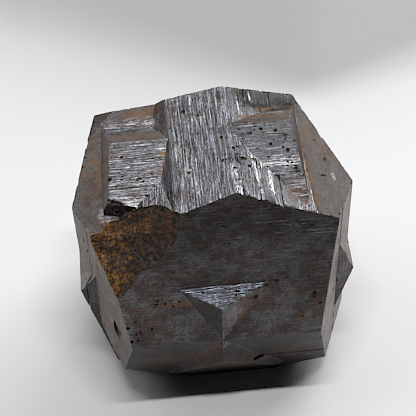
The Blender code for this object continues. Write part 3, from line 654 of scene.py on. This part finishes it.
FRONT_MARKS = (
    # Lighter and darker parts of the upper and lower front
    ("tone_and_painted_light", (-17.5, 34.5), (-8.5, 32.0), 5.0, 0.75),
    ("tone_and_painted_light", (-18.5, 28.0), (-10.0, 25.0), 4.0, 0.6),
    ("tone_and_painted_light", (-5.5, 38.0), (2.5, 36.0), 3.0, 0.25),
    ("tone_and_painted_light", (-7.0, 44.0), (-0.5, 40.0), 4.0, -0.2),
    ("tone_and_painted_light", (4.0, 40.0), (8.0, 38.0), 2.5, 0.2),
    ("tone_and_painted_light", (6.0, 28.5), (18.5, 25.5), 5.0, 0.4),
    ("tone_and_painted_light", (-4.0, 48.0), (19.0, 45.5), 4.0, -0.45),
    # Rust that has run from the wedge, and beside it
    ("rust", (-11.5, 31.0), (-6.0, 31.0), 0.4, 0.4),
    ("rust", (-6.0, 31.0), (-3.5, 26.5), 0.35, 0.3),
    ("rust", (-3.5, 16.5), (-1.0, 21.5), 0.6, 0.5),
    ("rust", (-1.0, 20.5), (-5.5, 12.5), 0.9, 0.4),
    ("rust", (7.5, 32.0), (1.5, 25.5), 0.35, 0.5),
    ("tone_and_painted_light", (2.5, 30.0), (3.5, 33.0), 1.5, 0.6),
    ("grime_and_pit_shade", (7.0, 33.7), (8.5, 33.7), 0.3, 0.9),
    ("grime_and_pit_shade", (5.0, 32.0), (6.2, 31.7), 0.35, 0.8),
    ("rust", (13.0, 31.5), (13.5, 31.0), 0.5, 0.6),
    ("rust", (14.5, 26.3), (15.5, 26.3), 0.35, 0.8),
    ("grime_and_pit_shade", (17.3, 30.3), (17.3, 30.3), 0.5, 0.9),
    ("red", (18.0, 29.5), (18.0, 28.5), 0.35, 0.6),
    # The foot, a little rusty, with painted shade darkest in its middle
    ("rust", (-14.0, 13.0), (14.0, 12.0), 4.5, 0.14),
    ("tone_and_painted_light", (-4.0, 13.0), (7.0, 13.0), 3.2, -0.55),
    # Pitted parts
    ("pits", (-17.5, 24.5), (-14.5, 27.0), 2.2, 0.4),
    ("pits", (-12.0, 31.7), (-8.0, 31.5), 0.9, 0.5),
    ("pits", (10.0, 38.0), (18.0, 30.0), 4.5, 0.12),
    # Scratches
    ("highlight_and_scratch", (7.0, 46.0), (12.5, 46.0), 0.1, 0.35),
    ("highlight_and_scratch", (10.5, 45.3), (17.0, 45.1), 0.1, 0.35),
    ("highlight_and_scratch", (15.0, 46.0), (20.0, 46.0), 0.1, 0.3),
    ("highlight_and_scratch", (3.0, 43.5), (12.0, 43.6), 0.1, 0.35),
    ("highlight_and_scratch", (13.5, 44.0), (21.5, 43.5), 0.1, 0.3),
    ("highlight_and_scratch", (17.0, 43.1), (21.5, 43.1), 0.1, 0.3),
)
LEFT_MARKS = (
    # Painted shade in the long pit low down, rust beside it and on the edges
    ("grime_and_pit_shade", (-18.0, 21.5), (-17.2, 19.0), 1.2, 0.9),
    ("rust", (-18.0, 21.0), (-15.5, 17.5), 1.4, 0.3),
    ("red", (-9.0, 26.5), (-9.0, 28.5), 0.5, 0.8),
    ("rust", (-7.5, 32.0), (-10.0, 30.0), 0.3, 0.6),
    ("rust", (-11.5, 23.0), (-13.5, 17.0), 1.0, 0.25),
)
# The two axes that the marks of each side are given in, and how squarely a face looks that way
MARKS = {"top": ((0, 1), TOP_MARKS), "front": ((0, 2), FRONT_MARKS), "left": ((1, 2), LEFT_MARKS)}
SQUARELY = 0.6
# A mark is gone at this many reaches from its line, give or take its ragged edge
FADED_AT = 1.25
RAGGED = 0.8


def mark_strength(side, first, last, reach):
    """How strongly a mark along a line on a side shows at each vertex, with a ragged edge."""
    spots = places[:, MARKS[side][0]]
    start, way = np.array(first), np.array(last) - np.array(first)
    share = np.clip((spots - start) @ way / max(way @ way, NEAR), 0.0, 1.0)
    away = np.linalg.norm(spots - start - share[:, None] * way, axis=1)
    shown = np.zeros(count)
    near = away < (FADED_AT + RAGGED) * reach
    for index in np.nonzero(near & facing_side[side])[0]:
        ragged = RAGGED * noise.noise(Vector(places[index]) / (0.7 * reach + 0.15))
        shown[index] = min(max(FADED_AT - away[index] / reach + ragged, 0.0), 1.0)
    return shown


fields = {kind: np.zeros(count) for kind in ("rust", "red", "tone_and_painted_light", "calm", "pits")}
fields |= {"grime_and_pit_shade": grime_and_pit_shade, "highlight_and_scratch": highlight_and_scratch, "crest": crest}
facing_side = {}
for side, (_, marks) in MARKS.items():
    axis, sign = SIDES[side]
    facing_side[side] = sign * normals[:, "xyz".index(axis)] > SQUARELY
    for kind, first, last, reach, strength in marks:
        shown = strength * mark_strength(side, first, last, reach)
        if kind == "tone_and_painted_light":
            fields[kind] += shown
        else:
            np.maximum(fields[kind], shown, out=fields[kind])

# The break rusts most along its lower left edge, where the damp has crept in: how much in its middle, how
# much less for each millimetre to the right and up, how much more or less in clouds, and the clouds' size
BREAK_RIGHT = Vector((0.82, -0.57, 0.0)).normalized()
BREAK_RUST = 0.20
LESS_RIGHT = 0.070
LESS_UP = 0.035
RUST_CLOUDS = 0.50
CLOUD_SIZE = 2.2

for index, numbers in enumerate(touching):
    if BREAK in numbers:
        spot = Vector(places[index])
        away = spot - BREAK_MIDDLE
        rusty = BREAK_RUST - LESS_RIGHT * away.dot(BREAK_RIGHT) - LESS_UP * away.z
        rusty += RUST_CLOUDS * noise.noise(spot / CLOUD_SIZE)
        fields["rust"][index] = min(max(rusty, 0.0), 1.1)

# Walls are darker than the faces above them, but those near the ground are painted lighter, as painted
# light from the card
LOW_WALL_PAINTED_LIGHT = 3.0
SIDE_WALL_TONE = 0.55
TOP_WALL_TONE = 1.0
TOP_FROM = 40.0
# The UV map follows the growth lines, a unit to each centimetre, and every face has its own part of it
LINES_UNIT = 0.1
FACES_APART = 7.0

uv_layer = twin_shape.loops.layers.uv.new("lines")
tones = []
for face in twin_shape.faces:
    number = face.material_index
    if number < BREAK:
        _, _, finish, tone = rows[number]
        across, along = line_frames[number]
    else:
        height = face.calc_center_median().z
        tone = SIDE_WALL_TONE if height < TOP_FROM else TOP_WALL_TONE
        tone = LOW_WALL_PAINTED_LIGHT if height < SHALLOW_BELOW else tone
        across, along = LINE_WAYS["x"], LINE_WAYS["z"]
    tones.append(tone)
    for loop in face.loops:
        spot = loop.vert.co * LINES_UNIT
        loop[uv_layer].uv = (spot.dot(across), spot.dot(along) + number * FACES_APART)
    face.smooth = True

# Edges between faces are sharp, save those of worn steps
SHARP_FROM = math.radians(25.0)
SHARP_STEP_FROM = math.radians(120.0)

for edge in twin_shape.edges:
    if len(edge.link_faces) == 2:
        one, other = (face.material_index for face in edge.link_faces)
        if one != other or one >= BREAK:
            limit = SHARP_STEP_FROM if STEP in (one, other) else SHARP_FROM
            edge.smooth = edge.calc_face_angle(0.0) < limit
for face in twin_shape.faces:
    number = face.material_index
    finish = {BREAK: "rusty", PIT: "pit"}.get(number, "edge") if number >= BREAK else rows[number][2]
    middle = face.calc_center_median()
    # Walls near the hollow are painted black inside as its shade
    if number >= WALL and (middle - HOLLOW).length < HOLLOW_REACH:
        finish = "pit"
    if number == PIT and middle.x > SHALLOW_BEYOND:
        finish = "brown"
    if number >= WALL and middle.z < SHALLOW_BELOW:
        finish = "dark"
    face.material_index = FINISHES.index(finish)
bmesh.ops.scale(twin_shape, vec=(MM,) * 3, verts=twin_shape.verts)
twin_mesh = bpy.data.meshes.new("pyrite_twin")
twin_shape.to_mesh(twin_mesh)
twin_shape.free()
for name, values in fields.items():
    attribute = twin_mesh.attributes.new(name, "FLOAT", "POINT")
    attribute.data.foreach_set("value", values.astype(np.float32))
attribute = twin_mesh.attributes.new("tone", "FLOAT", "FACE")
attribute.data.foreach_set("value", np.array(tones, np.float32))


def add_node(tree, kind, links=(), **settings):
    """Add a node with its settings, the values of its inputs by name, and the outputs that feed it."""
    node = tree.nodes.new(kind)
    for name, value in settings.items():
        if name in node.inputs:
            node.inputs[name].default_value = value
        else:
            setattr(node, name, value)
    for name, output in links:
        tree.links.new(output, node.inputs[name])
    return node


def mixed(tree, factor, first, second):
    """Blend two colours, either of which may be a plain colour or another node's output."""
    node = add_node(tree, "ShaderNodeMix", data_type="RGBA")
    for name, value in (("Factor", factor), ("A", first), ("B", second)):
        if isinstance(value, tuple):
            node.inputs[name].default_value = (*value, 1.0)
        else:
            tree.links.new(value, node.inputs[name])
    return node.outputs["Result"]


def ranged(tree, value, low, high, new_low=0.0, new_high=1.0):
    """Stretch a value's range to another, held at its ends."""
    settings = {"From Min": low, "From Max": high, "To Min": new_low, "To Max": new_high}
    return add_node(tree, "ShaderNodeMapRange", [("Value", value)], **settings).outputs["Result"]


def worked(tree, operation, first, second, third=0.0, clamp=False):
    """One step of arithmetic on outputs or plain numbers."""
    node = add_node(tree, "ShaderNodeMath", operation=operation, use_clamp=clamp)
    for place, value in enumerate((first, second, third)):
        if isinstance(value, float):
            node.inputs[place].default_value = value
        else:
            tree.links.new(value, node.inputs[place])
    return node.outputs[0]


# The colours of rust, of red iron spots, of grime and painted shade in pits, of painted highlights and
# bright scratches of bare pyrite, and of brown flecks
RUST = (0.26, 0.120, 0.035)
RED = (0.13, 0.030, 0.018)
PIT_SHADE_AND_GRIME_BLACK = (0.010, 0.009, 0.009)
HIGHLIGHT_AND_SCRATCH_COLOUR = (0.72, 0.72, 0.76)
FLECK = (0.065, 0.024, 0.018)
# Cells to each metre in the clouds, grains and flecks of the ground
CLOUDS = 260.0
GRAINS = 2900.0
FLECKS = 800.0
# Pricked holes: cells to each unit of the UV map, how much more of them a pits mark brings, and the relief
# of lines and holes in metres
HOLE_CELLS = 13.0
MORE_HOLES = 0.60
FINE_RELIEF = 0.00008
# Millimetres across and along the growth lines in a streak of each kind
THREAD = (0.15, 0.70)
STRAND = (0.26, 5.0)
SWEEP = (1.4, 5.0)


def noise_of(tree, vector, scale, detail=2.0, roughness=0.55):
    """Noise over a vector, with a given number of cells to its unit."""
    node = add_node(
        tree, "ShaderNodeTexNoise", [("Vector", vector)], Scale=scale, Detail=detail, Roughness=roughness
    )
    return node.outputs["Fac"]


def streaks_of(tree, lines, streak, detail):
    """Noise drawn out along the growth lines, its cells as long as given across and along them."""
    scale = (1.0 / (LINES_UNIT * streak[0]), 1.0 / (LINES_UNIT * streak[1]), 1.0)
    drawn = add_node(tree, "ShaderNodeMapping", [("Vector", lines)], Scale=scale)
    return noise_of(tree, drawn.outputs[0], 1.0, detail)


def pyrite_finish(name, grey, bright, brown, lines_seen, browned, metal, rough, pricks, mottle):
    """Weathered pyrite: thin growth lines with painted highlights and shade on a grey ground that is
    clouded with brown and pricked with holes painted black as their shade.

    The first three are its colours: the ground, the painted highlight of the lines and the clouds. The
    others
    go from 0 to 1: how far the lines show, how much of the ground is browned, how metallic and how rough
    it is, the share of pricked cells, and how much lighter and darker its grains are.
    """
    material = bpy.data.materials.new(name)
    material.use_nodes = True
    tree = material.node_tree
    shader = tree.nodes["Principled BSDF"]
    field = {
        name: add_node(tree, "ShaderNodeAttribute", attribute_name=name).outputs["Fac"]
        for name in ("crest", "rust", "red", "grime_and_pit_shade", "highlight_and_scratch", "tone_and_painted_light", "calm", "pits", "tone")
    }
    lines = add_node(tree, "ShaderNodeUVMap", uv_map="lines").outputs["UV"]
    place = add_node(tree, "ShaderNodeTexCoord").outputs["Object"]
    thread = streaks_of(tree, lines, THREAD, 1.0)
    strand = streaks_of(tree, lines, STRAND, 2.0)
    sweep = streaks_of(tree, lines, SWEEP, 3.0)
    cloud = noise_of(tree, place, CLOUDS, 6.0, 0.62)
    grain = noise_of(tree, place, GRAINS, 1.0)
    # The ground: grey, clouded with brown, and a little lighter and darker in sweeps and in grains
    less = 0.3 * browned
    ground = mixed(tree, ranged(tree, cloud, 0.58 - less, 0.70 - less), grey, brown)
    lightness = worked(tree, "MULTIPLY", ranged(tree, sweep, 0.3, 0.7, 0.85, 1.15), field["tone"])
    mottled = ranged(tree, grain, 0.3, 0.7, 1.0 - mottle, 1.0 + mottle)
    lightness = worked(tree, "MULTIPLY", lightness, mottled)
    lightness = worked(tree, "MULTIPLY", lightness, worked(tree, "ADD", field["tone_and_painted_light"], 1.0))
    speckle = noise_of(tree, place, FLECKS, 4.0, 0.6)
    fleck = ranged(tree, speckle, 0.56, 0.64, 0.0, 1.4 * browned)
    ground = mixed(tree, fleck, ground, FLECK)
    # The lines: painted highlights where they rise and painted shade, partly brown, beside them, in fine
    # threads and in longer strands
    level = worked(tree, "MULTIPLY_ADD", strand, 1.0, worked(tree, "MULTIPLY", thread, 0.8))
    level = worked(tree, "MULTIPLY_ADD", field["crest"], 0.22, level)
    seen = ranged(tree, field["calm"], 0.0, 1.0, lines_seen, 0.08)
    light = worked(tree, "MULTIPLY", ranged(tree, level, 1.00, 1.26), seen)
    dark = worked(tree, "MULTIPLY", ranged(tree, level, 0.98, 0.74), seen)
    raised = ranged(tree, level, 0.95, 1.12, 0.05, 1.0)
    highlight_and_scratch = worked(tree, "MULTIPLY", field["highlight_and_scratch"], raised, clamp=True)
    ground = mixed(tree, dark, ground, tuple(0.35 * value for value in brown))
    shaded = add_node(
        tree, "ShaderNodeVectorMath", [("Vector", ground), ("Scale", lightness)], operation="SCALE"
    )
    lit = add_node(
        tree, "ShaderNodeVectorMath", [("Scale", field["tone"])], operation="SCALE", Vector=bright
    )
    colour = mixed(tree, light, shaded.outputs["Vector"], lit.outputs["Vector"])
    # Painted highlights on raised lines and edges, and bright scratches
    colour = mixed(tree, highlight_and_scratch, colour, HIGHLIGHT_AND_SCRATCH_COLOUR)
    # Rust, red iron spots, and grime and the painted shade of pits and pricked holes, which do not shine
    ragged = ranged(tree, grain, 0.3, 0.6, 0.4, 1.1)
    rusted = worked(tree, "MULTIPLY", field["rust"], ragged, clamp=True)
    colour = mixed(tree, rusted, colour, RUST)
    colour = mixed(tree, field["red"], colour, RED)
    cells = add_node(
        tree, "ShaderNodeTexVoronoi", [("Vector", lines)], voronoi_dimensions="2D", Scale=HOLE_CELLS
    )
    size = add_node(tree, "ShaderNodeSeparateColor", [("Color", cells.outputs["Color"])]).outputs[0]
    size = worked(tree, "MULTIPLY_ADD", field["pits"], MORE_HOLES, size)
    size = ranged(tree, size, 1.0 - pricks, 1.12 - pricks, 0.0, 0.38)
    size = worked(tree, "MULTIPLY", size, ranged(tree, cloud, 0.38, 0.56, 0.35, 1.0))
    hole = ranged(tree, worked(tree, "SUBTRACT", size, cells.outputs["Distance"]), 0.0, 0.08)
    black = worked(tree, "MAXIMUM", field["grime_and_pit_shade"], hole, clamp=True)
    colour = mixed(tree, black, colour, PIT_SHADE_AND_GRIME_BLACK)
    tree.links.new(colour, shader.inputs["Base Color"])
    dull = worked(tree, "MAXIMUM", black, rusted, clamp=True)
    tree.links.new(ranged(tree, dull, 0.0, 1.0, metal, 0.0), shader.inputs["Metallic"])
    shine = ranged(tree, black, 0.0, 1.0, 0.5, 0.0)
    tree.links.new(shine, shader.inputs["Specular IOR Level"])
    roughness = worked(tree, "MULTIPLY_ADD", light, -0.10, rough)
    tree.links.new(worked(tree, "MULTIPLY_ADD", dull, 0.3, roughness), shader.inputs["Roughness"])
    relief = worked(tree, "MULTIPLY_ADD", hole, -1.5, level)
    relief = add_node(tree, "ShaderNodeBump", [("Height", relief)], Strength=0.35, Distance=FINE_RELIEF)
    tree.links.new(relief.outputs[0], shader.inputs["Normal"])
    return material


# The finishes of the faces, in the order of FINISHES, the rusty break left out; the bright colour of each
# is the painted highlight of its growth lines
for name, colours, shares in (
    (
        "bright_pyrite",
        {"grey": (0.180, 0.180, 0.192), "bright": (0.52, 0.56, 0.66), "brown": (0.13, 0.098, 0.088)},
        {"lines_seen": 1.0, "browned": 0.15, "metal": 0.75, "rough": 0.42, "pricks": 0.04, "mottle": 0.2},
    ),
    (
        "grey_pyrite",
        {"grey": (0.120, 0.122, 0.136), "bright": (0.42, 0.42, 0.46), "brown": (0.09, 0.075, 0.068)},
        {"lines_seen": 0.55, "browned": 0.15, "metal": 0.60, "rough": 0.45, "pricks": 0.06, "mottle": 0.3},
    ),
    (
        "blue_pyrite",
        {"grey": (0.068, 0.074, 0.092), "bright": (0.29, 0.33, 0.42), "brown": (0.05, 0.045, 0.045)},
        {"lines_seen": 1.0, "browned": 0.15, "metal": 0.60, "rough": 0.45, "pricks": 0.20, "mottle": 0.3},
    ),
    (
        "dark_pyrite",
        {"grey": (0.086, 0.086, 0.089), "bright": (0.20, 0.195, 0.195), "brown": (0.055, 0.040, 0.036)},
        {"lines_seen": 0.35, "browned": 0.50, "metal": 0.45, "rough": 0.50, "pricks": 0.02, "mottle": 0.35},
    ),
    (
        "pale_pyrite",
        {"grey": (0.22, 0.20, 0.18), "bright": (0.50, 0.48, 0.46), "brown": (0.145, 0.11, 0.088)},
        {"lines_seen": 0.45, "browned": 0.45, "metal": 0.45, "rough": 0.45, "pricks": 0.03, "mottle": 0.2},
    ),
    (
        "umber_pyrite",
        {"grey": (0.18, 0.155, 0.135), "bright": (0.42, 0.38, 0.35), "brown": (0.13, 0.082, 0.055)},
        {"lines_seen": 0.40, "browned": 0.60, "metal": 0.40, "rough": 0.45, "pricks": 0.03, "mottle": 0.3},
    ),
    (
        "brown_pyrite",
        {"grey": (0.122, 0.112, 0.107), "bright": (0.20, 0.18, 0.17), "brown": (0.108, 0.080, 0.066)},
        {"lines_seen": 0.10, "browned": 0.45, "metal": 0.35, "rough": 0.52, "pricks": 0.006, "mottle": 0.3},
    ),
    # Walls of steps, painted pale as painted light on sides that the lamps miss
    (
        "wall_painted_light",
        {"grey": (0.60, 0.55, 0.50), "bright": (0.80, 0.78, 0.76), "brown": (0.40, 0.28, 0.18)},
        {"lines_seen": 0.30, "browned": 0.40, "metal": 0.20, "rough": 0.55, "pricks": 0.02, "mottle": 0.3},
    ),
    (
        "pit_floor_painted_shade",
        {"grey": (0.016, 0.012, 0.010), "bright": (0.03, 0.025, 0.02), "brown": (0.150, 0.070, 0.035)},
        {"lines_seen": 0.00, "browned": 0.40, "metal": 0.0, "rough": 0.80, "pricks": 0.0, "mottle": 0.6},
    ),
):
    twin_mesh.materials.append(pyrite_finish(name, **colours, **shares))


# The colours of the break: its crust from black to brown, its dark red stains, its ochre grains from brown
# to yellow, and its few pale glints
CRUST = ((0.003, 0.0024, 0.0022), (0.080, 0.046, 0.026))
STAIN = (0.045, 0.014, 0.010)
OCHRE = ((0.15, 0.056, 0.013), (0.44, 0.21, 0.030))
GLINT = (0.40, 0.36, 0.26)
# Cells to each metre in its clouds, grains and specks, and the relief of its grains in metres
CRUST_CLOUDS = 420.0
CRUST_GRAINS = 1500.0
CRUST_SPECKS = 2100.0
CRUST_RELIEF = 0.00030


def break_finish():
    """The broken corner: a black-brown granular crust with ochre grains, most of them along its edge."""
    material = bpy.data.materials.new("rusty_break")
    material.use_nodes = True
    tree = material.node_tree
    shader = tree.nodes["Principled BSDF"]
    rust = add_node(tree, "ShaderNodeAttribute", attribute_name="rust").outputs["Fac"]
    place = add_node(tree, "ShaderNodeTexCoord").outputs["Object"]
    cloud = noise_of(tree, place, CRUST_CLOUDS, 4.0, 0.6)
    grain = noise_of(tree, place, CRUST_GRAINS, 3.0, 0.7)
    speck = noise_of(tree, place, CRUST_SPECKS, 5.0, 0.75)
    ground = mixed(tree, ranged(tree, grain, 0.40, 0.62), *CRUST)
    ground = mixed(tree, ranged(tree, cloud, 0.52, 0.64), ground, STAIN)
    ochre = worked(tree, "ADD", rust, ranged(tree, cloud, 0.3, 0.7, -0.65, 0.65))
    ochre = ranged(tree, ochre, 0.15, 0.9)
    ochre = worked(tree, "MULTIPLY", ochre, ranged(tree, speck, 0.44, 0.56), clamp=True)
    tint = mixed(tree, ranged(tree, grain, 0.42, 0.60), *OCHRE)
    colour = mixed(tree, ochre, ground, tint)
    glint = ranged(tree, speck, 0.70, 0.76)
    glint = worked(tree, "MULTIPLY", glint, ranged(tree, cloud, 0.5, 0.6), clamp=True)
    colour = mixed(tree, glint, colour, GLINT)
    tree.links.new(colour, shader.inputs["Base Color"])
    shader.inputs["Roughness"].default_value = 0.75
    relief = add_node(tree, "ShaderNodeBump", [("Height", grain)], Strength=0.6, Distance=CRUST_RELIEF)
    tree.links.new(relief.outputs[0], shader.inputs["Normal"])
    return material


twin_mesh.materials.append(break_finish())
twin = bpy.data.objects.new("pyrite_twin", twin_mesh)
bpy.context.scene.collection.objects.link(twin)
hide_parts("iron_cross_twin")
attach(twin, "root")
